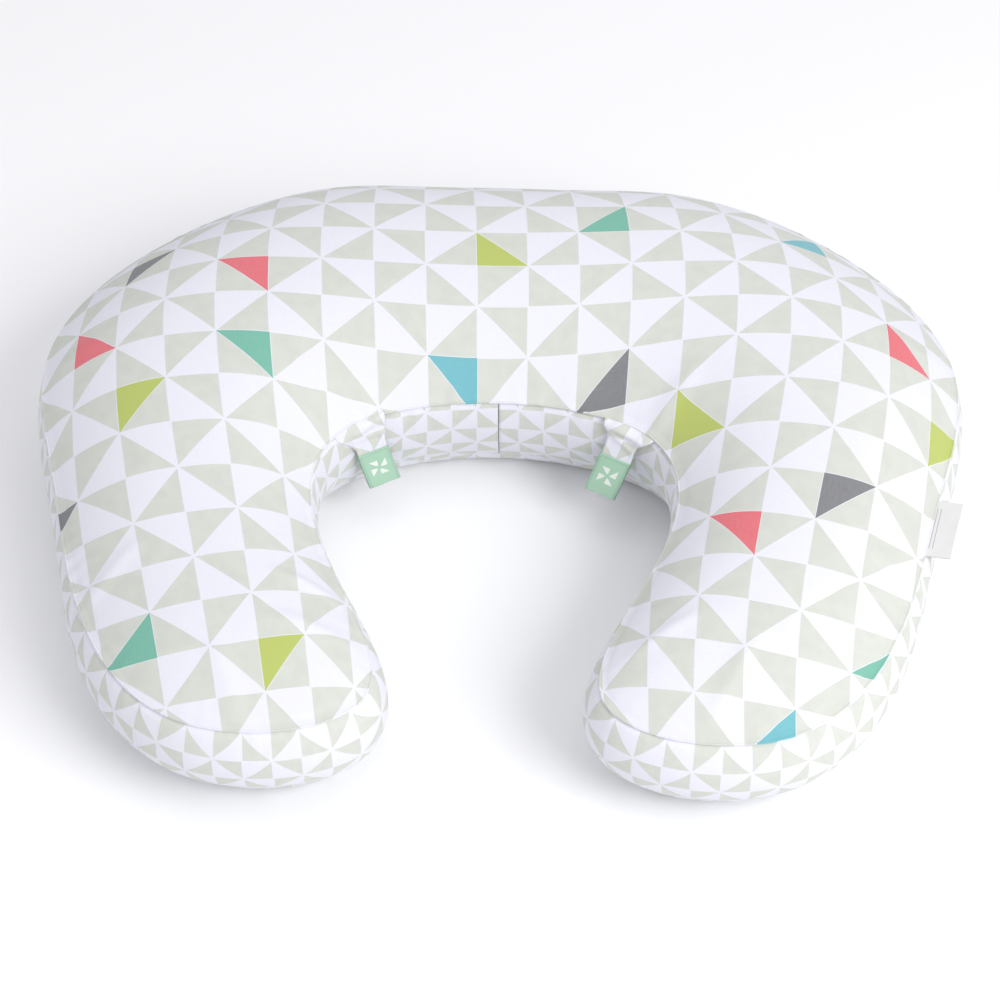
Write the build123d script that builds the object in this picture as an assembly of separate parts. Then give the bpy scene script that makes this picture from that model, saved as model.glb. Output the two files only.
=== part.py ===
from build123d import *
import math
import os

# Nursing pillow: a C-shaped boxed cushion with a removable printed cover.
# Millimetres. +Z is up and the pillow lies flat on z = 0. The closed side of the C is at +Y and the two
# arms reach towards -Y. The origin is under the middle of the whole object's box.

# ---------------------------------------------------------------------------- driving dimensions
# Plan of the top seam, right half. Each point is (distance from the centre line, distance in front of
# the back seam). The back seam is straight between the two zip ends.
BACK_SEAM_Y = 211.2
ZIP_HALF = 100.0
SEAM_PLAN = [
    (ZIP_HALF, 0),
    (194, 41),
    (268, 148),
    (251, 254),
    (226, 343),
    (155, 421),
    (68, 404),
    (104, 268),
    (94, 210),
    (53, 187),
    (0, 180),
]
PILLOW_DEPTH = 427.0
SEAM_SAMPLES = 30

# Plan of the top panel's ridge, right half, in the same way
RIDGE_PLAN = [(0, 90), (95, 102), (158, 150), (180, 215), (173, 280), (146, 345)]
RIDGE_SAMPLES = 240

# Heights
BACK_SEAM_Z = 82.0
SEAM_FALL = 6.0
BACK_CROWN = 49.0
TIP_CROWN = 19.0
CROWN_POWER = 2.4
TOP_LEVELS = [0.0, 0.12, 0.3, 0.55, 0.86]
BOTTOM_SEAM_Z = 19.0
BOTTOM_ROUND = 17.0
BOTTOM_STEPS = 4

# Side band, from the bottom seam to the top seam
BAND_BULGE = 10.0
BOTTOM_SEAM_INSET = 6.0
BAND_LEVELS = [0.0, 0.22, 0.5, 0.78, 1.0]

# Layers, from the outside in
COVER_THICKNESS = 1.0
CASING_THICKNESS = 0.7
LAYER_GAP = 0.3
CASING_INSET = 1.7
CASING_TOP_INSET = 3.3
FILL_INSET = 3.3
FILL_TOP_INSET = 5.6
ZIP_ROOM = 5.0
ZIP_ROOM_FADE = 4
CASING_JOIN = 0.2
TOP_SLACK = 0.6

# Zip in the back of the band
ZIP_Z = 50.0
ZIP_SLOT = 8.0
TAPE_WIDTH = 9.0
TAPE_THICKNESS = 0.6
TAPE_BEHIND = 3.2
COIL_WIDTH = 1.8
COIL_THICKNESS = 1.6
ROW_GAP = 0.8
COIL_END = 2.5
COIL_ROUND = 0.5
TAPE_END = 0.5
STOP_LENGTH = 2.4
STOP_OVER_COIL = 0.2
SLIDER_LENGTH = 11.0
SLIDER_WIDTH = 7.0
SLIDER_PLATE = 1.1
SLIDER_CORNER = 1.6
SLIDER_REST_X = 86.0
WEB_THICKNESS = 0.4
WEB_LENGTH = 2.6
WEB_FROM_NOSE = 0.6
ARCH_WIDTH = 2.0
ARCH_LENGTH = 6.4
ARCH_HEIGHT = 2.7
ARCH_WALL = 0.9
ARCH_ROUND = 1.2
PLATE_BITE = 0.3
PULL_BAR_RADIUS = 0.6
PULL_WIDTH = 5.4
PULL_RAIL = 1.2
PULL_WINDOW = 5.4
PULL_LENGTH = 20.0
PULL_TIP_ROUND = 2.2
PULL_THICKNESS = 1.1
PULL_BAR_PLAY = 0.15

# Two tabs at the waist corners, each with a woven label wrapped round its end
TAB_WIDTH = 19.5
TAB_LENGTH = 48.0
TAB_THICKNESS = 1.2
TAB_LABEL_LENGTH = 26.0
TAB_LABEL_THICKNESS = 0.5
TAB_LABEL_GAP = 0.15
TAB_LABEL_OVERHANG = 0.4
TAB_ROOT_OFFSET = 2.7
WAIST_START = 0.88
TAB_LEFT_X = 79.0
TAB_RIGHT_X = 77.0
TAB_LEFT_LEAN = 19.0
TAB_RIGHT_LEAN = 27.0

# Folded tag in the right outer seam
TAG_Y = -58.0
TAG_LENGTH = 43.0
TAG_WIDTH = 13.0
TAG_THICKNESS = 0.8
TAG_FOLD_ROUND = 0.35
TAG_ROOT_OFFSET = 2.2
TAG_RISE = 8.0

# Added to a cutting box where it runs past the piece it cuts
CLEAR = 2.0


# ---------------------------------------------------------------------------- plan and section
def front_of_back(distance):
    """Y of a point that lies this far in front of the back seam."""
    return BACK_SEAM_Y - distance


def closed_seam():
    """The whole seam line in plan, clockwise from the middle of the back."""
    right = [(0, BACK_SEAM_Y), (ZIP_HALF / 2, BACK_SEAM_Y)]
    right += [(x, front_of_back(d)) for x, d in SEAM_PLAN]
    left = [(-x, y) for x, y in reversed(right[1:-1])]
    return Spline(*right, *left, periodic=True)


SEAM = closed_seam()
WAIST = 0.5
SEAM_START = ZIP_HALF / SEAM.length
RIDGE = Spline(*[(x, front_of_back(d)) for x, d in RIDGE_PLAN])
RIDGE_POINTS = [RIDGE @ (i / RIDGE_SAMPLES) for i in range(RIDGE_SAMPLES + 1)]


def seam_point(along, offset=0.0):
    """Plan point on the right half of the seam, moved outwards by offset. along runs from 0, at the
    right end of the straight back, round the arm to 1, at the middle of the waist."""
    share = SEAM_START + (WAIST - SEAM_START) * along
    p = SEAM @ share
    t = SEAM % share
    return (p.X - t.Y * offset, p.Y + t.X * offset)


def along_where(matches, low, high, steps=400):
    """The along value from low to high at which matches(x, y) is smallest."""
    choices = [low + (high - low) * i / steps for i in range(steps + 1)]
    return min(choices, key=lambda along: abs(matches(*seam_point(along))))


def right_half(offset=0.0, zip_room=0.0):
    """Plan points of the right half of the seam line, from the middle of the back to the waist. The
    straight back lies deeper by zip_room, which fades out where the arm starts."""
    back_y = BACK_SEAM_Y + offset - zip_room
    points = [(0.0, back_y), (ZIP_HALF / 2, back_y)]
    for i in range(SEAM_SAMPLES):
        fade = max(0.0, 1 - i / ZIP_ROOM_FADE)
        points.append(seam_point(i / SEAM_SAMPLES, offset - zip_room * fade))
    return points + [(0.0, seam_point(1.0, offset)[1])]


def towards_ridge(points, share):
    """Plan points moved this share of the way to the nearest point of the top panel's ridge."""
    moved = []
    for x, y in points:
        near = min(RIDGE_POINTS, key=lambda p: math.hypot(p.X - x, p.Y - y))
        ridge_x = near.X if x > 0 else 0.0
        moved.append((x + (ridge_x - x) * share, y + (near.Y - y) * share))
    return moved


def seam_z(y):
    """Height of the top seam, which falls a little from the back to the tips."""
    return BACK_SEAM_Z - SEAM_FALL * (BACK_SEAM_Y - y) / PILLOW_DEPTH


def crown(y):
    """Height of the top panel's ridge above the top seam."""
    share = (BACK_SEAM_Y - y) / PILLOW_DEPTH
    return BACK_CROWN + (TIP_CROWN - BACK_CROWN) * share


def band_offset(level):
    """How far the band stands out from the top seam's plan, from level 0, the bottom seam, to 1."""
    return BAND_BULGE * math.sin(math.pi * level) ** 0.8 - BOTTOM_SEAM_INSET * (1 - level)


def loop_wire(half, lift):
    """Closed wire round the right half: a smooth line through its plan points, raised by lift(y), and
    a straight line back along the middle. The smooth line crosses the middle squarely. It counts along
    the seam in the same way at every level, so that a loft through several of them stays even."""
    points = [Vector(x, y, lift(y)) for x, y in half]
    arm = (WAIST - SEAM_START) * SEAM.length
    places = [0.0, ZIP_HALF / 2] + [ZIP_HALF + arm * i / SEAM_SAMPLES for i in range(SEAM_SAMPLES + 1)]
    start = Vector(points[1].X / places[1], 0, 0)
    end = Vector(-points[-2].X / (places[-1] - places[-2]), 0, 0)
    outline = Edge.make_spline(points, tangents=[start, end], parameters=places, scale=False)
    return Wire([outline, Edge.make_line(points[-1], points[0])])


def whole(half):
    """A right half joined to its mirror image."""
    return half + half.mirror(Plane.YZ)


# ---------------------------------------------------------------------------- cushion forms
def band_core(inset, zip_room=0.0):
    """The band's outer form, moved inwards by inset, as a solid block between the two seams."""
    wires = []
    for level in BAND_LEVELS:
        def lift(y, level=level):
            return BOTTOM_SEAM_Z + (seam_z(y) - BOTTOM_SEAM_Z) * level
        wires.append(loop_wire(right_half(band_offset(level) - inset, zip_room), lift))
    return Solid.make_loft(wires)


def top_core(inset, base, drop, zip_room=0.0):
    """The crowned form over the top seam, moved inwards by inset. Its base is at the height base above
    the seam, and its ridge is drop below the top panel's outer surface."""
    wires = []
    for share in TOP_LEVELS:
        rise = 1 - (1 - share) ** CROWN_POWER
        def lift(y, rise=rise):
            height = crown(y) + COVER_THICKNESS + LAYER_GAP - drop - base
            return seam_z(y) + base + height * rise
        wires.append(loop_wire(towards_ridge(right_half(-inset, zip_room), share), lift))
    return Solid.make_loft(wires)


def top_skin(inset, base, drop, thickness, zip_room=0.0):
    """Layer of the top panel."""
    outer = top_core(inset, base, drop, zip_room)
    return outer - top_core(inset + thickness, base - thickness, drop + thickness, zip_room)


def bottom_core(inset, low, zip_room=0.0):
    """Tray form under the bottom seam: flat at the height low, and rounded up to the seam."""
    wires = []
    for step in range(BOTTOM_STEPS + 1):
        turn = math.pi / 2 * step / BOTTOM_STEPS
        offset = -BOTTOM_SEAM_INSET - inset - (BOTTOM_ROUND - inset) * (1 - math.cos(turn))
        height = low + (BOTTOM_SEAM_Z - LAYER_GAP - low) * (1 - math.sin(turn))
        wires.append(loop_wire(right_half(offset, zip_room), lambda y, height=height: height))
    return Solid.make_loft(wires)


def bottom_skin(inset, low, thickness, zip_room=0.0):
    """Layer of the bottom panel: flat on the rest plane and rounded up to the bottom seam."""
    outer = bottom_core(inset, low, zip_room)
    return outer - bottom_core(inset + thickness, low + thickness, zip_room)


# ---------------------------------------------------------------------------- cover, casing and filling
def make_cover():
    parts = {}
    parts["cover_top_panel"] = whole(top_skin(0.0, LAYER_GAP, 0.0, COVER_THICKNESS))
    parts["cover_bottom_panel"] = whole(bottom_skin(0.0, 0.0, COVER_THICKNESS))
    parts.update(split_band(band_core(0.0) - band_core(COVER_THICKNESS)))
    return parts


def make_inner_pillow():
    """The filling and the casing that holds it. Both stand back behind the zip. The casing's band is one
    strip, and its two ends meet in the middle of the waist."""
    parts = {}
    under_cover = COVER_THICKNESS + LAYER_GAP
    skin = (CASING_THICKNESS, ZIP_ROOM)
    parts["casing_top_panel"] = whole(
        top_skin(CASING_TOP_INSET, LAYER_GAP, under_cover + TOP_SLACK, *skin)
    )
    parts["casing_bottom_panel"] = whole(bottom_skin(CASING_INSET, under_cover, *skin))
    outer = band_core(CASING_INSET, ZIP_ROOM)
    strip = whole(outer - band_core(CASING_INSET + CASING_THICKNESS, ZIP_ROOM))
    join_low = (-CASING_JOIN / 2, 0, -CLEAR)
    join_high = (CASING_JOIN / 2, ZIP_HALF, BACK_SEAM_Z + CLEAR)
    parts["casing_band"] = strip - box_between(join_low, join_high)

    under_casing = under_cover + CASING_THICKNESS + LAYER_GAP
    middle = band_core(FILL_INSET, ZIP_ROOM)
    crown_cap = top_core(FILL_TOP_INSET, 0.0, under_casing + 2 * TOP_SLACK, ZIP_ROOM)
    parts["fibre_fill"] = whole(middle + crown_cap + fill_base(under_casing))
    return parts


def fill_base(low):
    """The filling under the bottom seam, up to the block between the seams."""
    tray = bottom_core(FILL_INSET, low, ZIP_ROOM)
    neck = right_half(-BOTTOM_SEAM_INSET - FILL_INSET, ZIP_ROOM)
    low_wire = loop_wire(neck, lambda y: BOTTOM_SEAM_Z - LAYER_GAP)
    high_wire = loop_wire(neck, lambda y: BOTTOM_SEAM_Z)
    return tray + Solid.make_loft([low_wire, high_wire])


def box_between(low, high):
    """Box from its lowest to its highest corner."""
    size = [b - a for a, b in zip(low, high)]
    centre = [(a + b) / 2 for a, b in zip(low, high)]
    return Location(centre) * Box(*size)


def split_band(half_band):
    """The band's sewn pieces: a left and a right one, and two narrow strips along the zip."""
    front, behind = BACK_SEAM_Y - ZIP_HALF / 2, BACK_SEAM_Y + ZIP_HALF
    low, high = -CLEAR, BACK_SEAM_Z + CLEAR
    zip_room = box_between((-ZIP_HALF, front, low), (ZIP_HALF, behind, high))
    upper_room = box_between((-ZIP_HALF, front, ZIP_Z + ZIP_SLOT / 2), (ZIP_HALF, behind, high))
    lower_room = box_between((-ZIP_HALF, front, low), (ZIP_HALF, behind, ZIP_Z - ZIP_SLOT / 2))
    return {
        "side_band_right": half_band - zip_room,
        "side_band_left": half_band.mirror(Plane.YZ) - zip_room,
        "zip_strip_upper": whole(half_band & upper_room),
        "zip_strip_lower": whole(half_band & lower_room),
    }


# ---------------------------------------------------------------------------- zip
BAND_BACK_Y = BACK_SEAM_Y + band_offset(0.5)
TAPE_FRONT_Y = BAND_BACK_Y - TAPE_BEHIND
COIL_TOP_Y = TAPE_FRONT_Y + COIL_THICKNESS
SLIDER_TOP_Y = COIL_TOP_Y + LAYER_GAP + SLIDER_PLATE
SLIDER_LOW_Y = TAPE_FRONT_Y - TAPE_THICKNESS - LAYER_GAP - SLIDER_PLATE
BAR_Y = SLIDER_TOP_Y + ARCH_HEIGHT - ARCH_WALL - PULL_BAR_RADIUS - PULL_BAR_PLAY


def make_zip():
    parts = {}
    for name, side in (("upper", 1), ("lower", -1)):
        row_low = ZIP_Z + side * ROW_GAP / 2
        row_high = row_low + side * COIL_WIDTH
        tape_high = row_low + side * TAPE_WIDTH
        row = sorted((row_low, row_high))
        tape = sorted((row_low, tape_high))
        tape_end = ZIP_HALF - TAPE_END
        parts["zipper_tape_" + name] = box_between(
            (-tape_end, TAPE_FRONT_Y - TAPE_THICKNESS, tape[0]), (tape_end, TAPE_FRONT_Y, tape[1])
        )
        coil_end = ZIP_HALF - COIL_END - STOP_LENGTH
        coil = box_between((-coil_end, TAPE_FRONT_Y, row[0]), (coil_end, COIL_TOP_Y, row[1]))
        outer = coil.edges().filter_by(Axis.X).group_by(Axis.Y)[-1]
        parts["zipper_coil_" + name] = fillet(outer, COIL_ROUND)

    stop = box_between(
        (ZIP_HALF - COIL_END - STOP_LENGTH, TAPE_FRONT_Y, ZIP_Z - ROW_GAP / 2 - COIL_WIDTH),
        (ZIP_HALF - COIL_END, COIL_TOP_Y + STOP_OVER_COIL, ZIP_Z + ROW_GAP / 2 + COIL_WIDTH),
    )
    stop = fillet(stop.edges().filter_by(Axis.Y), COIL_ROUND)
    parts["zipper_end_stops"] = Compound([stop, mirror(stop, Plane.YZ)])
    parts["zipper_slider"] = make_slider()
    parts["zipper_pull"] = make_pull()
    return parts


def make_slider():
    """Two plates joined by a thin web that runs between the two closed rows, with an arch on top."""
    x0, x1 = SLIDER_REST_X - SLIDER_LENGTH / 2, SLIDER_REST_X + SLIDER_LENGTH / 2
    z0, z1 = ZIP_Z - SLIDER_WIDTH / 2, ZIP_Z + SLIDER_WIDTH / 2
    top = box_between((x0, SLIDER_TOP_Y - SLIDER_PLATE, z0), (x1, SLIDER_TOP_Y, z1))
    top = fillet(top.edges().filter_by(Axis.Y), SLIDER_CORNER)
    low = box_between((x0, SLIDER_LOW_Y, z0), (x1, SLIDER_LOW_Y + SLIDER_PLATE, z1))
    low = fillet(low.edges().filter_by(Axis.Y), SLIDER_CORNER)
    web_end = x1 - WEB_FROM_NOSE
    web = box_between(
        (web_end - WEB_LENGTH, SLIDER_LOW_Y + PLATE_BITE, ZIP_Z - WEB_THICKNESS / 2),
        (web_end, SLIDER_TOP_Y - PLATE_BITE, ZIP_Z + WEB_THICKNESS / 2),
    )
    arch_low = (SLIDER_REST_X - ARCH_LENGTH / 2, SLIDER_TOP_Y - PLATE_BITE, ZIP_Z - ARCH_WIDTH / 2)
    arch_high = (SLIDER_REST_X + ARCH_LENGTH / 2, SLIDER_TOP_Y + ARCH_HEIGHT, ZIP_Z + ARCH_WIDTH / 2)
    arch = box_between(arch_low, arch_high)
    crest = arch.edges().filter_by(Axis.Z).group_by(Axis.Y)[-1]
    arch = fillet(crest, ARCH_ROUND)
    tunnel = box_between(
        (arch_low[0] + ARCH_WALL, SLIDER_TOP_Y, arch_low[2] - CLEAR),
        (arch_high[0] - ARCH_WALL, SLIDER_TOP_Y + ARCH_HEIGHT - ARCH_WALL, arch_high[2] + CLEAR),
    )
    return top + low + web + (arch - tunnel)


def make_pull():
    """Pull that hangs on a cross bar under the slider's arch and lies along the zip."""
    bar = Cylinder(PULL_BAR_RADIUS, PULL_WIDTH)
    bar = Location((SLIDER_REST_X, BAR_Y, ZIP_Z)) * bar
    half_t = PULL_THICKNESS / 2
    plate = box_between(
        (SLIDER_REST_X - PULL_LENGTH, BAR_Y - half_t, ZIP_Z - PULL_WIDTH / 2),
        (SLIDER_REST_X, BAR_Y + half_t, ZIP_Z + PULL_WIDTH / 2),
    )
    tip = plate.edges().filter_by(Axis.Y).group_by(Axis.X)[0]
    plate = fillet(tip, PULL_TIP_ROUND)
    window = box_between(
        (SLIDER_REST_X - PULL_WINDOW, BAR_Y - CLEAR, ZIP_Z - PULL_WIDTH / 2 + PULL_RAIL),
        (SLIDER_REST_X + CLEAR, BAR_Y + CLEAR, ZIP_Z + PULL_WIDTH / 2 - PULL_RAIL),
    )
    return (plate - window) + bar


# ---------------------------------------------------------------------------- tabs and tag
def seam_frame(along, side, offset, lean):
    """Axes at the top seam: X runs along the seam, Z points out of it, leaned down by lean degrees
    below level (90 hangs straight down)."""
    x, y = seam_point(along, offset)
    t = SEAM % (SEAM_START + (WAIST - SEAM_START) * along)
    tangent = Vector(side * t.X, t.Y, 0)
    outward = Vector(-side * t.Y, t.X, 0)
    down = math.radians(lean)
    away = outward * math.cos(down) + Vector(0, 0, -math.sin(down))
    return Plane(origin=(side * x, y, seam_z(y)), x_dir=tangent, z_dir=away)


def make_tab(name, root_x, side, lean_from_upright):
    """Strap folded from the cover cloth, and the woven label wrapped round its free end."""
    along = along_where(lambda x, y: x - root_x, WAIST_START, 1.0)
    plane = seam_frame(along, side, TAB_ROOT_OFFSET, 90 - lean_from_upright)
    strap = Box(TAB_WIDTH, TAB_THICKNESS, TAB_LENGTH, align=(Align.CENTER, Align.CENTER, Align.MIN))
    start = TAB_LENGTH - TAB_LABEL_LENGTH
    hollow = Location((0, 0, start)) * Box(
        TAB_WIDTH + 2 * CLEAR,
        TAB_THICKNESS + 2 * TAB_LABEL_GAP,
        TAB_LABEL_LENGTH + TAB_LABEL_GAP,
        align=(Align.CENTER, Align.CENTER, Align.MIN),
    )
    wrap = Location((0, 0, start)) * Box(
        TAB_WIDTH + 2 * TAB_LABEL_OVERHANG,
        TAB_THICKNESS + 2 * (TAB_LABEL_GAP + TAB_LABEL_THICKNESS),
        TAB_LABEL_LENGTH + TAB_LABEL_GAP + TAB_LABEL_THICKNESS,
        align=(Align.CENTER, Align.CENTER, Align.MIN),
    )
    print(name, "root", [round(v, 2) for v in plane.origin], "along", [round(v, 4) for v in plane.x_dir])
    return {
        name + "_strap": plane.location * strap,
        name + "_label": plane.location * (wrap - hollow),
    }


def make_tag():
    """Folded tape that stands out of the right outer seam."""
    along = along_where(lambda x, y: y - TAG_Y, 0.0, 0.5)
    plane = seam_frame(along, 1, TAG_ROOT_OFFSET, -TAG_RISE)
    tag = Box(TAG_LENGTH, TAG_THICKNESS, TAG_WIDTH, align=(Align.CENTER, Align.CENTER, Align.MIN))
    fold = tag.edges().filter_by(Axis.X).group_by(Axis.Z)[-1]
    tag = fillet(fold, TAG_FOLD_ROUND)
    print("side_tag root", [round(v, 2) for v in plane.origin], "along", [round(v, 4) for v in plane.x_dir])
    return {"side_tag": plane.location * tag}


# ---------------------------------------------------------------------------- build and write
parts = make_cover()
parts.update(make_inner_pillow())
parts.update(make_zip())
parts.update(make_tab("tab_left", TAB_LEFT_X, -1, TAB_LEFT_LEAN))
parts.update(make_tab("tab_right", TAB_RIGHT_X, 1, TAB_RIGHT_LEAN))
parts.update(make_tag())

box = Compound([Compound(list(p.solids())) for p in parts.values()]).bounding_box()
print("box", [round(v, 2) for v in box.min], [round(v, 2) for v in box.max])
print("pull bar", SLIDER_REST_X, round(BAR_Y, 3), ZIP_Z)

os.makedirs("parts", exist_ok=True)
for name, part in parts.items():
    export_step(part, os.path.join("parts", name + ".step"))
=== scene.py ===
import math

import bpy
import numpy as np
from mathutils import Euler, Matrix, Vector


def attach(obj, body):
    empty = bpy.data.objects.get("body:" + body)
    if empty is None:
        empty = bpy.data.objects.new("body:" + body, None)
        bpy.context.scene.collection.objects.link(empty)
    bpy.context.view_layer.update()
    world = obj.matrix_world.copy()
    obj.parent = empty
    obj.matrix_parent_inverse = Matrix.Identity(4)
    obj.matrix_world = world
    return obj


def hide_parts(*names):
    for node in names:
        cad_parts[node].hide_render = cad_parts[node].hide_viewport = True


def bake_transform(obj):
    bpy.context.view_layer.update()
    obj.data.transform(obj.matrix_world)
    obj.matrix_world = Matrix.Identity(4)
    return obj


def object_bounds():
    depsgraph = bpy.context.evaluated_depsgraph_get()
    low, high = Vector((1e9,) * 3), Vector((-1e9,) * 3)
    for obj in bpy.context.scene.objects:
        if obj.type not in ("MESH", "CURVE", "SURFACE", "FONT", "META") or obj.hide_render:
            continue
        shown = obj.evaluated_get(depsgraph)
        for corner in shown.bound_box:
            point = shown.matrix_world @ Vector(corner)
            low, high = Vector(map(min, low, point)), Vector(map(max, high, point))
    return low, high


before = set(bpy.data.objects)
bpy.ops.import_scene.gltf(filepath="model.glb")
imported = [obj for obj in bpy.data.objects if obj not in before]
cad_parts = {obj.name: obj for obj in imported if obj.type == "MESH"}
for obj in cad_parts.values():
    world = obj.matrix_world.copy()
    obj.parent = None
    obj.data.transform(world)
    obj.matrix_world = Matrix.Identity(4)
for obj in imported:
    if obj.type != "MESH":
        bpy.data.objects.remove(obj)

# Nursing pillow. Metres, in the CAD frame: +Z up, the closed back of the C at +Y, the arms towards -Y.
CAD_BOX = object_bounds()

# ---------------------------------------------------------------------------- driving dimensions
MM = 0.001

# Plan of the top seam, right half: (distance from the centre line, distance in front of the back seam)
BACK_SEAM_Y = 211.2 * MM
ZIP_HALF = 100 * MM
SEAM_PLAN_MM = [
    (100, 0), (194, 41), (268, 148), (251, 254), (226, 343), (155, 421),
    (68, 404), (104, 268), (94, 210), (53, 187), (0, 180),
]
RIDGE_PLAN_MM = [(0, 90), (95, 102), (158, 150), (180, 215), (173, 280), (146, 345)]
PILLOW_DEPTH = 427 * MM

# Heights
BACK_SEAM_Z = 82 * MM
SEAM_FALL = 6 * MM
BACK_CROWN = 49 * MM
TIP_CROWN = 18.5 * MM
CROWN_POWER = 2.4
BOTTOM_SEAM_Z = 19 * MM
BOTTOM_ROUND = 17 * MM

# Side band
SIDE_BULGE = 8.5 * MM
TIP_BULGE = 12 * MM
BACK_BULGE = 10 * MM
BOTTOM_SEAM_INSET = 6 * MM
WAIST_INSET = 9 * MM
WAIST_REACH = 0.075

# Printed cloth
TOP_CELL = 30 * MM
BAND_CELL = 15 * MM

# Zip
ZIP_Z = 50 * MM
ZIP_SLOT = 8 * MM
TAPE_FRONT_Y = 215 * MM
TAPE_THICKNESS = 0.6 * MM
TAPE_WIDTH = 9 * MM
TAPE_HALF_LENGTH = 99.5 * MM
COIL_HALF_LENGTH = 95 * MM
COIL_PITCH = 1.5 * MM
COIL_REACH = 1.8 * MM
COIL_WIRE_RADIUS = 0.34 * MM
ROW_GAP = 0.8 * MM

# Tabs. root is the middle of the sewn edge on the top seam, along the direction of the seam there, lean the
# degrees from upright, inwards the side that the free end swings to, and phase sets where the creases fall.
# spread says how far each side spreads along the seam (against along, with along) and the length over which
# it narrows again. roll is the height and the slant of the fold across the root.
TAB_LEFT = {
    "root": (-77.64 * MM, 11.21 * MM, 79.19 * MM),
    "along": (0.8619, 0.5071, 0),
    "lean": 11,
    "inwards": 1,
    "phase": 0.4,
    "spread": (13 * MM, 4 * MM, 18 * MM),
    "roll": (1.4 * MM, 0.25),
}
TAB_RIGHT = {
    "root": (75.74 * MM, 12.29 * MM, 79.21 * MM),
    "along": (0.8761, -0.4821, 0),
    "lean": 22,
    "inwards": -1,
    "phase": 2.1,
    "spread": (6 * MM, 10 * MM, 11 * MM),
    "roll": (2.2 * MM, -0.12),
}
TAB_SWING = 9
TAB_WIDTH = 19.5 * MM
TAB_LENGTH = 46 * MM
TAB_THICKNESS = 1.2 * MM
TAB_TUCK = 7 * MM
TAB_ROWS = 70
LABEL_LENGTH = 26 * MM
LABEL_THICKNESS = 0.5 * MM

# Tag in the right outer seam
TAG_ROOT = (249.26 * MM, -58.63 * MM, 78.21 * MM)
TAG_ALONG = (-0.239, -0.971, 0)
TAG_RISE = 8
TAG_LENGTH = 43 * MM
TAG_WIDTH = 13 * MM

RIDGE_NODES = 480
TIP_RAYS = 110
TOP_RINGS = 34
BAND_COLUMNS = 1280
BAND_ROWS = 34

rng = np.random.default_rng(7)


# ---------------------------------------------------------------------------- plan lines
def periodic_spline(points, count):
    """count points, evenly spaced by length, on a closed smooth line through points."""
    p = np.array(points, float)
    n = len(p)
    h = np.linalg.norm(np.roll(p, -1, 0) - p, axis=1)
    slope = (np.roll(p, -1, 0) - p) / h[:, None]
    a = np.zeros((n, n))
    b = np.zeros((n, 2))
    for i in range(n):
        before = h[i - 1]
        a[i, i - 1] = before
        a[i, i] = 2 * (before + h[i])
        a[i, (i + 1) % n] = h[i]
        b[i] = 6 * (slope[i] - slope[i - 1])
    m = np.linalg.solve(a, b)
    fine = []
    for i in range(n):
        j = (i + 1) % n
        t = np.linspace(0, h[i], 200, endpoint=False)[:, None]
        r = h[i] - t
        fine.append(
            m[i] * r**3 / (6 * h[i]) + m[j] * t**3 / (6 * h[i])
            + (p[i] / h[i] - m[i] * h[i] / 6) * r + (p[j] / h[i] - m[j] * h[i] / 6) * t
        )
    fine = np.concatenate(fine)
    return resample(np.vstack([fine, fine[:1]]), count + 1)[:-1]


def open_spline(points, count):
    """count points, evenly spaced by length, on an open smooth line through points."""
    p = np.array(points, float)
    n = len(p)
    h = np.linalg.norm(np.diff(p, axis=0), axis=1)
    slope = np.diff(p, axis=0) / h[:, None]
    a = np.eye(n)
    b = np.zeros((n, 2))
    for i in range(1, n - 1):
        a[i, i - 1] = h[i - 1]
        a[i, i] = 2 * (h[i - 1] + h[i])
        a[i, i + 1] = h[i]
        b[i] = 6 * (slope[i] - slope[i - 1])
    m = np.linalg.solve(a, b)
    fine = []
    for i in range(n - 1):
        t = np.linspace(0, h[i], 200)[:, None]
        r = h[i] - t
        fine.append(
            m[i] * r**3 / (6 * h[i]) + m[i + 1] * t**3 / (6 * h[i])
            + (p[i] / h[i] - m[i] * h[i] / 6) * r + (p[i + 1] / h[i] - m[i + 1] * h[i] / 6) * t
        )
    return resample(np.concatenate(fine), count)


def resample(line, count):
    step = np.linalg.norm(np.diff(line, axis=0), axis=1)
    s = np.concatenate([[0], np.cumsum(step)])
    at = np.linspace(0, s[-1], count)
    return np.stack([np.interp(at, s, line[:, k]) for k in range(2)], -1)


def mirrored(right):
    """A right half's points and their mirror image, as one closed list."""
    return right + [(-x, y) for x, y in reversed(right[1:-1])]


def in_front(points_mm):
    return [(x * MM, BACK_SEAM_Y - d * MM) for x, d in points_mm]


SEAM_POINTS = 6000
SEAM_RIGHT = [(0, BACK_SEAM_Y), (ZIP_HALF / 2, BACK_SEAM_Y)] + in_front(SEAM_PLAN_MM)
SEAM = periodic_spline(mirrored(SEAM_RIGHT), SEAM_POINTS)
RIDGE_RIGHT = in_front(RIDGE_PLAN_MM)
RIDGE = open_spline([(-x, y) for x, y in reversed(RIDGE_RIGHT[1:])] + RIDGE_RIGHT, RIDGE_NODES)


def outward(line):
    """Unit normals that point out of a closed clockwise line."""
    t = np.roll(line, -1, 0) - np.roll(line, 1, 0)
    t /= np.linalg.norm(t, axis=1)[:, None]
    return np.stack([-t[:, 1], t[:, 0]], -1)


def seam_z(y):
    return BACK_SEAM_Z - SEAM_FALL * (BACK_SEAM_Y - y) / PILLOW_DEPTH


def crown(y):
    share = (BACK_SEAM_Y - y) / PILLOW_DEPTH
    return BACK_CROWN + (TIP_CROWN - BACK_CROWN) * share


def smooth_step(x, low, high):
    t = np.clip((x - low) / (high - low), 0, 1)
    return t * t * (3 - 2 * t)


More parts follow.
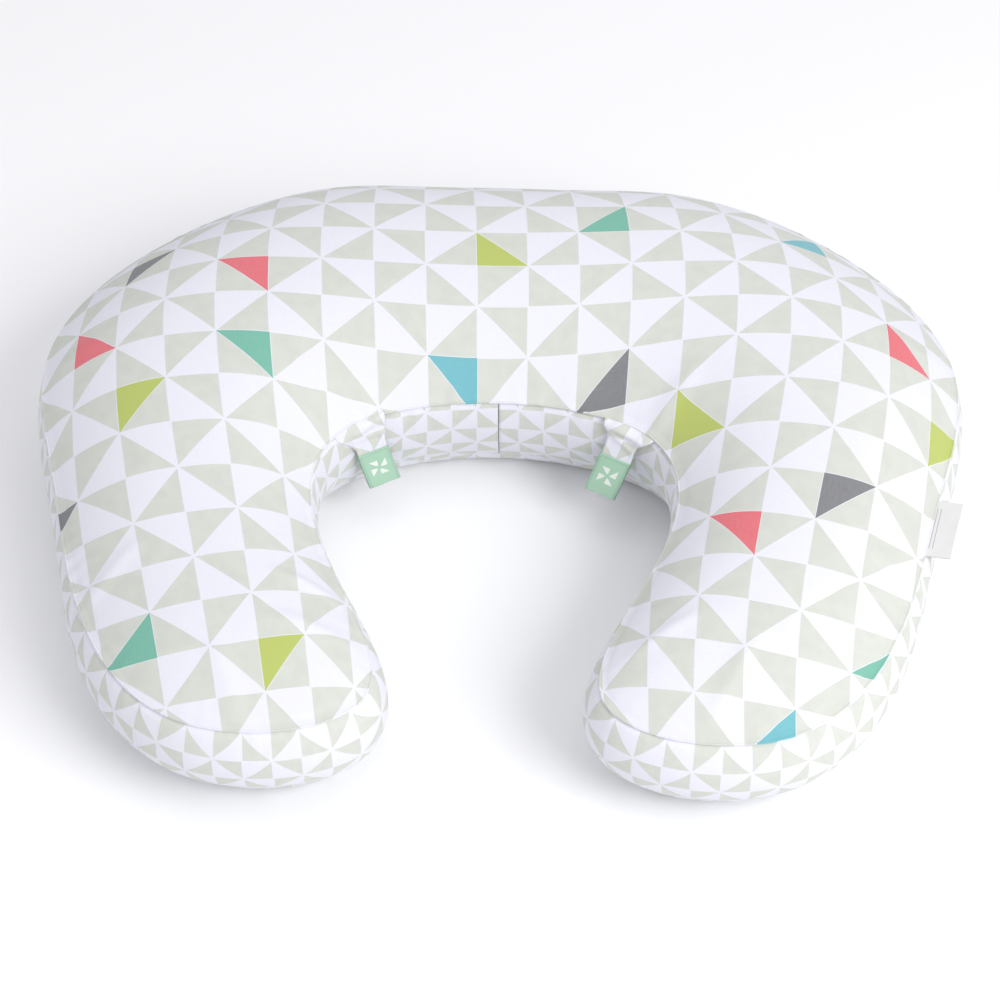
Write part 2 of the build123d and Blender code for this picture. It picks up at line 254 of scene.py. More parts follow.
def spokes(ridge):
    """Rays from the ridge to the seam, clockwise from the ridge's left end along the outer side: the
    ridge point, the seam point and the place along the seam (0 to 1) of each."""
    tangent = np.gradient(ridge, axis=0)
    tangent /= np.linalg.norm(tangent, axis=1)[:, None]
    left_of = np.stack([-tangent[:, 1], tangent[:, 0]], -1)
    feet, ways = [], []
    for k in range(len(ridge)):
        feet.append(ridge[k])
        ways.append(left_of[k])
    for turn in np.linspace(0, math.pi, TIP_RAYS + 2)[1:-1]:
        feet.append(ridge[-1])
        ways.append(math.cos(turn) * left_of[-1] + math.sin(turn) * tangent[-1])
    for k in reversed(range(len(ridge))):
        feet.append(ridge[k])
        ways.append(-left_of[k])
    for turn in np.linspace(0, math.pi, TIP_RAYS + 2)[1:-1]:
        feet.append(ridge[0])
        ways.append(-math.cos(turn) * left_of[0] - math.sin(turn) * tangent[0])
    feet, ways = np.array(feet), np.array(ways)
    rim, place = [], []
    after = np.roll(SEAM, -1, 0)
    for foot, way in zip(feet, ways):
        side = np.array([-way[1], way[0]])
        here = (SEAM - foot) @ side
        there = (after - foot) @ side
        along = (SEAM - foot) @ way
        hits = np.nonzero((here * there <= 0) & (along > 0))[0]
        i = hits[np.argmin(along[hits])]
        t = here[i] / (here[i] - there[i] + 1e-12)
        rim.append(SEAM[i] + (after[i] - SEAM[i]) * t)
        place.append((i + t) / len(SEAM))
    return feet, np.array(rim), np.array(place)


FEET, RIM, PLACE = spokes(RIDGE)
SEAM_LENGTH = float(np.linalg.norm(np.roll(SEAM, -1, 0) - SEAM, axis=1).sum())
RIM_OUT = outward(SEAM)[(PLACE * len(SEAM)).astype(int) % len(SEAM)]


# ---------------------------------------------------------------------------- sewn edges and wrinkles
def waves(shortest, longest, count):
    """Waves whose sum looks irregular: how many of each fit round the seam, their phases, one weight."""
    turns = np.unique(np.round(SEAM_LENGTH / rng.uniform(shortest, longest, count)))
    phase = rng.uniform(0, 2 * math.pi, len(turns))
    return turns, phase, 1 / math.sqrt(len(turns))


PUCKERS = waves(7 * MM, 19 * MM, 14)
DRIFT = waves(60 * MM, 200 * MM, 6)
PUCKER_HEIGHT = 0.34 * MM


def along_seam(place, wave):
    turns, phase, weight = wave
    return weight * np.sin(2 * math.pi * place[..., None] * turns + phase).sum(-1)


def pucker(place, distance, reach):
    """Height of the small gathers beside a sewn edge, which die out within reach of it."""
    size = 0.55 + 0.45 * np.tanh(1.4 * along_seam(place, DRIFT))
    return PUCKER_HEIGHT * size * along_seam(place, PUCKERS) * np.exp(-((distance / reach) ** 1.3))


FOLD_HEIGHT = 2.2 * MM


def fold(points, start, end, width, size):
    """Height of one soft fold that runs from start to end, both (x, y), and fades at its ends."""
    a, b = np.array(start) * MM, np.array(end) * MM
    way = (b - a) / np.linalg.norm(b - a)
    rel = points[..., :2] - a
    t = rel @ way / np.linalg.norm(b - a)
    across = rel @ np.array([-way[1], way[0]])
    fade = smooth_step(t, -0.15, 0.3) * (1 - smooth_step(t, 0.6, 1.1))
    return FOLD_HEIGHT * size * fade * np.exp(-((across / (width * MM)) ** 2))


# Soft folds on the top: (start, end, half width) in millimetres, and the share of FOLD_HEIGHT
TOP_FOLDS = [
    ((238, -120), (196, -70), 5, 0.7),
    ((232, -150), (185, -115), 6, 0.8),
    ((120, -205), (150, -150), 6, 0.7),
    ((76, -165), (118, -140), 5, 0.8),
    ((-80, -130), (-122, -118), 4, 0.9),
    ((-74, -160), (-118, -150), 5, 0.9),
    ((-228, -140), (-190, -100), 5, 0.6),
    ((-130, -208), (-150, -165), 6, 0.6),
    ((90, 8), (118, 40), 6, 0.7),
    ((-90, 8), (-122, 44), 6, 0.7),
    ((262, 60), (222, 70), 7, 0.5),
    ((-262, 40), (-226, 52), 7, 0.5),
]


# ---------------------------------------------------------------------------- mesh helpers
def set_uv(obj, flat):
    """Sets the UV map from one (u, v) for each vertex."""
    mesh = obj.data
    layer = mesh.uv_layers.new(name="cloth")
    index = np.zeros(len(mesh.loops), int)
    mesh.loops.foreach_get("vertex_index", index)
    layer.data.foreach_set("uv", np.asarray(flat, float)[index].ravel())


def mesh_object(name, points, faces, uvs=None, smooth=True):
    mesh = bpy.data.meshes.new(name)
    mesh.from_pydata([tuple(p) for p in points], [], [tuple(int(i) for i in f) for f in faces])
    obj = bpy.data.objects.new(name, mesh)
    if uvs is not None:
        set_uv(obj, uvs)
    mesh.polygons.foreach_set("use_smooth", [smooth] * len(mesh.polygons))
    mesh.update()
    bpy.context.collection.objects.link(obj)
    return obj


def grid_faces(rows, columns, closed=False, flip=False):
    """Quads of a grid whose point (row, column) has the index row * columns + column."""
    faces = []
    last = columns if closed else columns - 1
    for r in range(rows - 1):
        for c in range(last):
            d = (c + 1) % columns
            quad = (r * columns + c, r * columns + d, (r + 1) * columns + d, (r + 1) * columns + c)
            faces.append(quad[::-1] if flip else quad)
    return faces


def finish_piece(obj, body, slot, material, *nodes, sewn_at=None, stuffed=False):
    """Gives a piece its material and hides the CAD parts it stands for. A piece without sewn_at is tied to
    its body; with sewn_at its placement is baked into its mesh and it is tied to no body. sewn_at is the
    (start, end) of the bend of a piece that is sewn to the cushion at one end, but only whether it is given
    is used.
    slot is not used. stuffed is not used."""
    obj.data.materials.append(material)
    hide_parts(*nodes)
    if sewn_at:
        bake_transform(obj)
    else:
        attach(obj, body)


# ---------------------------------------------------------------------------- panels
# Above 1, so that a panel's rings lie closer together near its seam.
RING_POWER = 1.7


def panel(name, profile, rim=RIM, lip=(), flip=False, rings=TOP_RINGS, stride=1):
    """Mesh of a panel from its sewn edge to the ridge. lip is a list of (out, up) steps round the edge,
    profile(points, distance, share, place) gives the height, and stride leaves out rays."""
    feet, rim, place, out = FEET[::stride], rim[::stride], PLACE[::stride], RIM_OUT[::stride]
    tip_rays = TIP_RAYS // stride
    count = len(feet)
    length = np.linalg.norm(feet - rim, axis=1)
    levels = []
    for step_out, step_up in lip:
        plan = rim + out * step_out
        z = profile(rim, np.zeros(count), np.zeros(count), place) + step_up
        levels.append(np.column_stack([plan, z]))
    for j in range(rings + 1):
        share = np.full(count, (j / rings) ** RING_POWER)
        plan = rim + (feet - rim) * share[:, None]
        levels.append(np.column_stack([plan, profile(plan, share * length, share, place)]))
    points = np.concatenate(levels)
    faces = grid_faces(len(levels), count, closed=True, flip=flip)
    # the two sides of the ridge share their points
    nodes = (count - 2 * tip_rays) // 2
    base = (len(levels) - 1) * count
    same = np.arange(len(points))
    inner = base + nodes + tip_rays + np.arange(nodes)
    same[inner] = base + np.arange(nodes)[::-1]
    same[base + nodes:base + nodes + tip_rays] = base + nodes - 1
    same[base + 2 * nodes + tip_rays:] = base
    used = np.unique(same)
    new = np.full(len(points), -1)
    new[used] = np.arange(len(used))
    joined = []
    for f in faces:
        g = [int(new[same[i]]) for i in f]
        g = [v for k, v in enumerate(g) if v != g[k - 1]]
        if len(set(g)) >= 3:
            joined.append(g)
    return mesh_object(name, points[used], joined)


EDGE_RISE = 0.7 * MM
CROWN_RISE = 0.6 * MM
GROOVE_AT = 3.0 * MM
GROOVE_DEPTH = 0.45 * MM
GROOVE_HALF_WIDTH = 1.7 * MM
TOP_LIP = [
    (-1.2 * MM, -2.6 * MM),
    (0.2 * MM, -2.0 * MM),
    (0.9 * MM, -1.1 * MM),
    (1.0 * MM, -0.2 * MM),
    (0.6 * MM, 0.3 * MM),
]
TAB_LIFT = 1.1 * MM
TAB_LIFT_REACH = 15 * MM
BOTTOM_LIP = [(-0.5 * MM, 2.0 * MM), (0.8 * MM, 1.2 * MM)]


def top_height(plan, distance, share, place):
    y = plan[:, 1]
    z = seam_z(y) + EDGE_RISE + (crown(y) + CROWN_RISE) * (1 - (1 - share) ** CROWN_POWER)
    z -= GROOVE_DEPTH * np.exp(-(((distance - GROOVE_AT) / GROOVE_HALF_WIDTH) ** 2))
    z += pucker(place, distance, 11 * MM)
    for f in TOP_FOLDS:
        z += fold(plan, *f)
    for tab in (TAB_LEFT, TAB_RIGHT):
        away = np.linalg.norm(plan - np.array(tab["root"][:2]), axis=1)
        z += TAB_LIFT * np.exp(-((away / TAB_LIFT_REACH) ** 2))
    return z


def bottom_height(plan, distance, share, place):
    inside = np.clip(1 - distance / BOTTOM_ROUND, 0, 1)
    z = BOTTOM_SEAM_Z * (0.75 * inside**1.4 + 0.25 * (1 - np.sqrt(1 - inside**2)))
    return z + 0.5 * pucker(place, distance, 8 * MM) * smooth_step(z, 2 * MM, 8 * MM)


# ---------------------------------------------------------------------------- band
def bottom_inset(place):
    """How far the bottom seam lies inside the top seam. It is more in the waist, which leans back."""
    return BOTTOM_SEAM_INSET + WAIST_INSET * np.exp(-(((place - 0.5) / WAIST_REACH) ** 2))


def band_offset(level, y, place):
    """How far the band stands out from the seam's plan, from level 0, the bottom seam, to 1."""
    tip = smooth_step(-y, 60 * MM, 190 * MM)
    back = smooth_step(y, 170 * MM, 200 * MM)
    bulge = SIDE_BULGE + (TIP_BULGE - SIDE_BULGE) * tip + (BACK_BULGE - SIDE_BULGE) * back
    return bulge * np.sin(math.pi * np.clip(level, 0, 1)) ** 0.8 - bottom_inset(place) * (1 - level)


BAND_SEAM = resample(np.vstack([SEAM, SEAM[:1]]), BAND_COLUMNS + 1)[:-1]
BAND_OUT = outward(BAND_SEAM)
BAND_PLACE = np.arange(BAND_COLUMNS) / BAND_COLUMNS
EDGE_TUCK = 2.2 * MM
EDGE_TUCK_REACH = 2.0 * MM


def band_point(column, level):
    """Points of the band's outside at these columns, at a level from 0, the bottom seam, to 1."""
    base, out, place = BAND_SEAM[column], BAND_OUT[column], BAND_PLACE[column]
    y = base[:, 1]
    top = seam_z(y)
    height = top - BOTTOM_SEAM_Z
    offset = band_offset(level, y, place)
    edge = np.minimum(level, 1 - level) * height
    tuck = EDGE_TUCK * np.exp(-((edge / EDGE_TUCK_REACH) ** 2))
    offset = offset - tuck + pucker(place + 0.013, edge, 13 * MM) * 1.3
    plan = base + out * offset[:, None]
    return np.column_stack([plan, BOTTOM_SEAM_Z + height * level])


TURNED_STEPS = (0.6 * MM, 1.4 * MM, 2.3 * MM)
END_TURN = 2.4 * MM
END_DIP = 0.7 * MM
END_DIP_REACH = 1.7 * MM
DIP_AT_BOTTOM = 0.4
END_GAP = 0.12


def band_piece(name, columns, low, high, rows=BAND_ROWS, turned=(), print_shift=0.0):
    """A strip of the band over these columns, from the level low to high. turned names the edges ("low",
    "high") that are folded back inside. Both ends are always folded back."""
    columns = np.array(columns) % BAND_COLUMNS
    count = len(columns)
    t = np.linspace(0, 1, rows)
    shares = low + (high - low) * (t if turned else 0.5 - 0.5 * np.cos(math.pi * t))
    levels = [band_point(columns, np.full(count, share)) for share in shares]
    from_end = np.minimum(np.arange(count), np.arange(count)[::-1]) * SEAM_LENGTH / BAND_COLUMNS
    dip = END_DIP * np.exp(-((from_end / END_DIP_REACH) ** 2))
    for share, level in zip(shares, levels):
        level[:, :2] -= BAND_OUT[columns] * dip[:, None] * (DIP_AT_BOTTOM + (1 - DIP_AT_BOTTOM) * share)
        level[0] += (level[1] - level[0]) * END_GAP
        level[-1] += (level[-2] - level[-1]) * END_GAP
    for edge in turned:
        row = levels[0] if edge == "low" else levels[-1]
        for back in TURNED_STEPS:
            inside = row.copy()
            inside[:, :2] -= BAND_OUT[columns] * back
            levels.insert(0 if edge == "low" else len(levels), inside)
    across = (columns[0] + np.arange(count)) * SEAM_LENGTH / BAND_COLUMNS + print_shift
    across = np.concatenate([across[:1], across, across[-1:]])
    for k, level in enumerate(levels):
        ends = level[[0, -1]].copy()
        ends[:, :2] -= BAND_OUT[columns[[0, -1]]] * END_TURN
        levels[k] = np.concatenate([ends[:1], level, ends[1:]])
    uv = np.concatenate([np.column_stack([across, level[:, 2]]) for level in levels])
    return mesh_object(name, np.concatenate(levels), grid_faces(len(levels), count + 2), uv / BAND_CELL)


# ---------------------------------------------------------------------------- materials
class Nodes:
    """Short names for building a node material."""

    def __init__(self, name):
        self.material = bpy.data.materials.new(name)
        self.material.use_nodes = True
        self.tree = self.material.node_tree
        self.shader = self.tree.nodes["Principled BSDF"]

    def add(self, kind, **inputs):
        node = self.tree.nodes.new(kind)
        for key, value in inputs.items():
            self.put(node.inputs[key.replace("_", " ")], value)
        return node

    def put(self, socket, value):
        if isinstance(value, bpy.types.NodeSocket):
            self.tree.links.new(value, socket)
        else:
            socket.default_value = value

    def math(self, operation, a, b=0.0, c=0.0):
        node = self.tree.nodes.new("ShaderNodeMath")
        node.operation = operation
        for socket, value in zip(node.inputs, (a, b, c)):
            self.put(socket, value)
        return node.outputs[0]

    def mix(self, factor, a, b):
        node = self.tree.nodes.new("ShaderNodeMix")
        node.data_type = "RGBA"
        self.put(node.inputs["Factor"], factor)
        self.put(node.inputs[6], a)
        self.put(node.inputs[7], b)
        return node.outputs[2]

    def noise(self, vector, scale, detail=2.0, rough=0.5):
        node = self.add("ShaderNodeTexNoise", Vector=vector, Scale=scale, Detail=detail, Roughness=rough)
        return node.outputs["Fac"]

    def step(self, value, low, high):
        node = self.tree.nodes.new("ShaderNodeMapRange")
        node.interpolation_type = "SMOOTHSTEP"
        self.put(node.inputs["Value"], value)
        node.inputs["From Min"].default_value = low
        node.inputs["From Max"].default_value = high
        return node.outputs[0]

    def set(self, **inputs):
        for key, value in inputs.items():
            self.put(self.shader.inputs[key.replace("_", " ")], value)

    def bump(self, height, strength, distance):
        node = self.add("ShaderNodeBump", Height=height, Strength=strength, Distance=distance)
        self.put(self.shader.inputs["Normal"], node.outputs[0])
        return node


def linear(r, g, b):
    """sRGB 0 to 255 as a linear colour."""
    def one(v):
        v /= 255
        return v / 12.92 if v <= 0.04045 else ((v + 0.055) / 1.055) ** 2.4
    return (one(r), one(g), one(b), 1.0)


def darker(colour, share):
    return tuple(c * share for c in colour[:3]) + (1.0,)


CLOTH_WHITE = linear(237, 237, 246)
CLOTH_SAGE = linear(216, 219, 209)
CORAL = linear(232, 112, 120)
TEAL_GREEN = linear(118, 187, 165)
LIME = linear(188, 200, 98)
TEAL_BLUE = linear(112, 188, 198)
DARK_GREY = linear(128, 128, 130)
LABEL_GREEN = linear(178, 217, 190)
LABEL_DARK = linear(138, 184, 152)

# The print's coloured triangles, each by its three corners on the print's square grid
COLOURED = [
    (CORAL, [((1, 3), (2, 3), (2, 4)), ((-2, 4), (-1, 5), (-2, 5)), ((14, 4), (14, 5), (15, 5)),
             ((11, 9), (12, 9), (12, 10))]),
    (LIME, [((0, 6), (-1, 6), (-1, 7)), ((6, 2), (6, 3), (7, 3)), ((10, 6), (10, 7), (11, 7)),
            ((15, 6), (16, 6), (15, 7)), ((2, 12), (1, 12), (1, 13))]),
    (TEAL_GREEN, [((1, 5), (2, 5), (2, 6)), ((8, 2), (9, 1), (9, 2)), ((-1, 11), (-1, 12), (-2, 12)),
                  ((15, 11), (14, 12), (15, 12))]),
    (TEAL_BLUE, [((5, 5), (6, 5), (6, 6)), ((12, 2), (13, 1), (13, 2)), ((13, 13), (13, 14), (12, 14))]),
    (DARK_GREY, [((9, 5), (9, 6), (8, 6)), ((13, 8), (14, 8), (13, 9)), ((0, 2), (-1, 2), (-1, 3)),
                 ((-2, 8), (-3, 8), (-3, 9))]),
]


def triangle_code(corners):
    """One number for a half cell of the print: its column, its row and its side of the diagonal."""
    column = min(c for c, r in corners)
    row = min(r for c, r in corners)
    x = sum(c for c, r in corners) / 3
    y = sum(r for c, r in corners) / 3
    steep = abs(x - 2 * round(x / 2)) > abs(y - 2 * round(y / 2))
    return column + 64 * row + (0.5 if steep else 0.0)


def printed_cotton(name, cell, coloured):
    """White cotton printed with sage pinwheels. The UV map counts print cells."""
    n = Nodes(name)
    uv = n.add("ShaderNodeUVMap").outputs[0]
    split = n.add("ShaderNodeSeparateXYZ", Vector=uv)
    col, row = split.outputs[0], split.outputs[1]

    def from_even(v):
        half = n.math("MULTIPLY", v, 0.5)
        near = n.math("FLOOR", n.math("ADD", half, 0.5))
        return n.math("SUBTRACT", v, n.math("MULTIPLY", near, 2.0))

    x, y = from_even(col), from_even(row)
    size_x, size_y = n.math("ABSOLUTE", x), n.math("ABSOLUTE", y)
    steep = n.math("SUBTRACT", size_x, size_y)
    turn = n.math("MULTIPLY", n.math("MULTIPLY", x, y), steep)
    is_sage = n.math("GREATER_THAN", turn, 0.0)
    edge_x = n.math("MINIMUM", size_x, n.math("SUBTRACT", 1.0, size_x))
    edge_y = n.math("MINIMUM", size_y, n.math("SUBTRACT", 1.0, size_y))
    diagonal = n.math("MULTIPLY", n.math("ABSOLUTE", steep), 0.7071)
    edge = n.math("MINIMUM", n.math("MINIMUM", edge_x, edge_y), diagonal)
    ragged = n.math("MULTIPLY", n.math("SUBTRACT", n.noise(uv, 26.0), 0.5), 0.012)
    gap = 0.45 * MM / cell
    ink = n.step(n.math("ADD", edge, ragged), gap * 0.3, gap * 1.3)

    fade = n.noise(uv, 3.2, 3.0)
    sage = n.mix(n.step(fade, 0.3, 0.7), CLOTH_SAGE, darker(CLOTH_SAGE, 0.95))
    colour = n.mix(n.math("MULTIPLY", is_sage, ink), CLOTH_WHITE, sage)
    if coloured:
        steep_side = n.math("MULTIPLY", n.math("GREATER_THAN", steep, 0.0), 0.5)
        code = n.math("ADD", n.math("FLOOR", col), n.math("MULTIPLY", n.math("FLOOR", row), 64.0))
        code = n.math("ADD", code, steep_side)
        for paint, triangles in COLOURED:
            found = 0.0
            for corners in triangles:
                hit = n.math("COMPARE", code, triangle_code(corners), 0.1)
                found = n.math("MAXIMUM", hit, found)
            colour = n.mix(found, colour, paint)

    # the weave: single threads, thicker slubs, and the shade between them
    threads = 0.42 * MM / cell
    wave_x = n.math("SINE", n.math("MULTIPLY", col, 2 * math.pi / threads))
    wave_y = n.math("SINE", n.math("MULTIPLY", row, 2 * math.pi / threads))
    weave = n.math("MULTIPLY", wave_x, wave_y)
    long_x = n.add("ShaderNodeMapping", Vector=uv, Scale=(0.6, 14.0, 1.0)).outputs[0]
    long_y = n.add("ShaderNodeMapping", Vector=uv, Scale=(14.0, 0.6, 1.0)).outputs[0]
    slub_scale = 6.0 * cell / TOP_CELL
    slubs = n.math("ADD", n.noise(long_x, slub_scale, 3.0), n.noise(long_y, slub_scale, 3.0))
    shade = n.step(slubs, 0.6, 1.4)
    colour = n.mix(n.math("MULTIPLY", n.math("SUBTRACT", 1.0, shade), 0.16), colour, linear(196, 200, 206))
    height = n.math("ADD", n.math("MULTIPLY", weave, 0.35), n.math("MULTIPLY", slubs, 0.8))
    n.bump(height, 0.6, 0.15 * MM)
    n.set(Base_Color=colour, Roughness=n.math("ADD", 0.78, n.math("MULTIPLY", shade, 0.1)))
    n.set(Sheen_Weight=0.18, Sheen_Roughness=0.45)
    n.shader.inputs["Specular IOR Level"].default_value = 0.25
    return n.material


def plain_cloth(name, colour, other, scale=900.0, rough=0.85):
    """Plain woven or non-woven cloth in two close tones."""
    n = Nodes(name)
    where = n.add("ShaderNodeTexCoord").outputs["Object"]
    fine = n.noise(where, scale, 3.0, 0.6)
    broad = n.noise(where, scale / 25, 2.0)
    n.set(Base_Color=n.mix(n.step(broad, 0.3, 0.75), colour, other))
    n.set(Roughness=n.math("ADD", rough - 0.05, n.math("MULTIPLY", fine, 0.1)))
    n.set(Sheen_Weight=0.2, Sheen_Roughness=0.5)
    n.bump(fine, 0.4, 0.2 * MM)
    return n.material


def woven_label(name):
    """Green woven ribbon with a stitched border and a small light pinwheel. UV in metres, u across."""
    n = Nodes(name)
    uv = n.add("ShaderNodeUVMap").outputs[0]
    split = n.add("ShaderNodeSeparateXYZ", Vector=uv)
    u, v = split.outputs[0], split.outputs[1]
    side = n.math("SUBTRACT", LABEL_HALF_WIDTH, n.math("ABSOLUTE", u))
    turn_at = n.math("ABSOLUTE", n.math("SUBTRACT", v, LABEL_LENGTH))
    end = n.math("SUBTRACT", LABEL_LENGTH, turn_at)
    from_edge = n.math("MINIMUM", side, end)
    border = n.math("COMPARE", from_edge, 1.5 * MM, 0.28 * MM)
    run = n.math("MULTIPLY", n.math("ADD", u, v), 2 * math.pi / STITCH_PITCH)
    dash = n.math("GREATER_THAN", n.math("SINE", run), -0.5)
    stitched = n.math("MULTIPLY", border, dash)
    # four blades round the middle of each face
    x = n.math("DIVIDE", u, MOTIF_CELL)
    y = n.math("DIVIDE", n.math("SUBTRACT", turn_at, LABEL_LENGTH / 2), MOTIF_CELL)
    size_x, size_y = n.math("ABSOLUTE", x), n.math("ABSOLUTE", y)
    blade = n.math("MULTIPLY", n.math("MULTIPLY", x, y), n.math("SUBTRACT", size_x, size_y))
    near = n.math("LESS_THAN", n.math("MAXIMUM", size_x, size_y), 1.0)
    motif = n.math("MULTIPLY", n.math("GREATER_THAN", blade, 0.004), near)
    slanted = n.math("ADD", u, n.math("MULTIPLY", v, 0.6))
    rib = n.math("SINE", n.math("MULTIPLY", slanted, 2 * math.pi / (0.55 * MM)))
    pick = n.math("SINE", n.math("MULTIPLY", v, 2 * math.pi / (0.4 * MM)))
    weave = n.math("ADD", n.math("MULTIPLY", rib, 0.5), n.math("MULTIPLY", pick, 0.5))
    cloth = n.mix(n.step(weave, -1.0, 1.0), darker(LABEL_GREEN, 0.9), LABEL_GREEN)
    cloth = n.mix(n.math("MULTIPLY", stitched, 0.8), cloth, LABEL_DARK)
    n.set(Base_Color=n.mix(n.math("MULTIPLY", motif, 0.9), cloth, LABEL_LIGHT))
    fuzz = n.noise(n.add("ShaderNodeTexCoord").outputs["Object"], 1500.0, 2.0)
    n.set(Roughness=n.math("ADD", 0.62, n.math("MULTIPLY", fuzz, 0.15)))
    n.set(Sheen_Weight=0.25, Sheen_Roughness=0.4)
    height = n.math("ADD", weave, n.math("MULTIPLY", stitched, 1.5))
    n.bump(n.math("ADD", height, n.math("MULTIPLY", motif, 1.0)), 0.6, 0.12 * MM)
    return n.material


def satin_tag(name):
    """Smooth satin tape with fine ribs and two thin grey lines along it. UV in metres, u along."""
    n = Nodes(name)
    uv = n.add("ShaderNodeUVMap").outputs[0]
    split = n.add("ShaderNodeSeparateXYZ", Vector=uv)
    u, v = split.outputs[0], split.outputs[1]
    rib = n.math("SINE", n.math("MULTIPLY", u, 2 * math.pi / (0.35 * MM)))
    lines = 0.0
    for at in TAG_LINES:
        line = n.math("COMPARE", v, at, 0.22 * MM)
        lines = n.math("MAXIMUM", line, lines)
    short = n.math("LESS_THAN", n.math("ABSOLUTE", u), 0.36 * TAG_LENGTH)
    soil = n.noise(n.add("ShaderNodeTexCoord").outputs["Object"], 120.0, 3.0)
    base = n.mix(n.step(soil, 0.3, 0.7), SATIN, darker(SATIN, 0.96))
    n.set(Base_Color=n.mix(n.math("MULTIPLY", n.math("MULTIPLY", lines, short), 0.6), base, DARK_GREY))
    n.set(Roughness=n.math("ADD", 0.34, n.math("MULTIPLY", soil, 0.12)))
    n.bump(rib, 0.35, 0.05 * MM)
    return n.material


def zip_tape(name):
    """Ribbed zip tape. UV in metres, u across, v along."""
    n = Nodes(name)
    uv = n.add("ShaderNodeUVMap").outputs[0]
    split = n.add("ShaderNodeSeparateXYZ", Vector=uv)
    u, v = split.outputs[0], split.outputs[1]
    rib = n.math("SINE", n.math("MULTIPLY", u, 2 * math.pi / (0.7 * MM)))
    pick = n.math("SINE", n.math("MULTIPLY", v, 2 * math.pi / (0.5 * MM)))
    weave = n.math("MULTIPLY", rib, n.math("ADD", 0.7, n.math("MULTIPLY", pick, 0.3)))
    n.set(Base_Color=n.mix(n.step(weave, -1.0, 1.0), linear(214, 216, 218), linear(240, 241, 243)))
    n.set(Roughness=n.math("ADD", 0.7, n.math("MULTIPLY", weave, 0.06)))
    n.bump(weave, 0.6, 0.12 * MM)
    return n.material


def moulded(name, colour, rough, metallic=0.0):
    """Nylon or painted metal with fine scuffs."""
    n = Nodes(name)
    where = n.add("ShaderNodeTexCoord").outputs["Object"]
    scuff = n.noise(where, 700.0, 4.0, 0.7)
    wear = n.step(n.noise(where, 160.0, 3.0), 0.55, 0.8)
    n.set(Base_Color=n.mix(n.math("MULTIPLY", wear, 0.3), colour, darker(colour, 0.7)))
    n.set(Roughness=n.math("ADD", rough, n.math("MULTIPLY", scuff, 0.14)), Metallic=metallic)
    n.bump(scuff, 0.2, 0.05 * MM)
    return n.material


LABEL_HALF_WIDTH = TAB_WIDTH / 2 + 0.3 * MM
LABEL_LIGHT = linear(244, 249, 242)
MOTIF_CELL = 5.4 * MM
STITCH_PITCH = 1.6 * MM
SATIN = linear(230, 229, 228)
TAG_LINES = (4.6 * MM, 6.6 * MM)

LABEL = woven_label("woven_label")
TAG = satin_tag("satin_tag")
TAPE = zip_tape("zip_tape")
COIL = moulded("zip_coil", linear(236, 237, 240), 0.35)
METAL = moulded("zip_metal", linear(225, 226, 228), 0.28, 0.35)
TOP_PRINT = printed_cotton("cover_print_large", TOP_CELL, True)
BAND_PRINT = printed_cotton("cover_print_small", BAND_CELL, False)
CASING = plain_cloth("casing_cloth", linear(240, 240, 236), linear(228, 228, 224))
FIBRE = plain_cloth("polyester_fibre", linear(246, 246, 246), linear(232, 232, 234), 300.0, 0.95)


# ---------------------------------------------------------------------------- cover
# How the print lies on the top. HALF_WIDTH and HALF_DEPTH are round numbers near the pillow's half
# size, which keep x and y between about -1 and 1.
HALF_WIDTH = 250 * MM
HALF_DEPTH = 200 * MM


def print_cells(at):
    """The print's column and row at these points. The first number of each is the cell at the frame's
    origin. The rest was fitted to the cells seen in the photo, and the high powers follow the drift
    where the cloth is stretched over the crown and round the arms."""
    x, y = at[:, 0] / HALF_WIDTH, at[:, 1] / HALF_DEPTH
    column = 6.42 + 9.05 * x + 0.09 * y - 2.35 * x * y - 1.65 * x**3 + 1.21 * x**5
    column += 1.05 * x * y**2 + 0.87 * x * y**3 + 1.49 * x**3 * y + 0.26 * y**3
    row = 6.86 - 7.32 * y + 0.19 * x - 0.69 * x**2 - 0.43 * y**2
    row += 4.18 * x**2 * y - 2.97 * x**4 * y - 2.08 * x**2 * y**3
    return np.column_stack([column, row])


def vertex_places(mesh):
    at = np.zeros(len(mesh.vertices) * 3)
    mesh.vertices.foreach_get("co", at)
    return at.reshape(-1, 3)


def make_cover():
    top = panel("cover_top", top_height, lip=TOP_LIP)
    set_uv(top, print_cells(vertex_places(top.data)))
    finish_piece(top, "cushion", "cover_print_large", TOP_PRINT, "cover_top_panel", stuffed=True)
    quarter = int(round(ZIP_HALF / SEAM_LENGTH * BAND_COLUMNS))
    half = BAND_COLUMNS // 2
    right = band_piece("band_right", range(quarter, half + 1), 0.0, 1.0)
    finish_piece(right, "cushion", "cover_print_small", BAND_PRINT, "side_band_right", stuffed=True)
    left = band_piece("band_left", range(half, BAND_COLUMNS - quarter + 1), 0.0, 1.0, print_shift=5 * MM)
    finish_piece(left, "cushion", "cover_print_small", BAND_PRINT, "side_band_left", stuffed=True)
    rise = BACK_SEAM_Z - BOTTOM_SEAM_Z
    high = (ZIP_Z + ZIP_SLOT / 2 - BOTTOM_SEAM_Z) / rise
    low = (ZIP_Z - ZIP_SLOT / 2 - BOTTOM_SEAM_Z) / rise
    back = range(-quarter, quarter + 1)
    upper = band_piece("zip_strip_above", back, high, 1.0, 18, ("low",))
    finish_piece(upper, "cushion", "cover_print_small", BAND_PRINT, "zip_strip_upper", stuffed=True)
    lower = band_piece("zip_strip_below", back, 0.0, low, 18, ("high",))
    finish_piece(lower, "cushion", "cover_print_small", BAND_PRINT, "zip_strip_lower", stuffed=True)


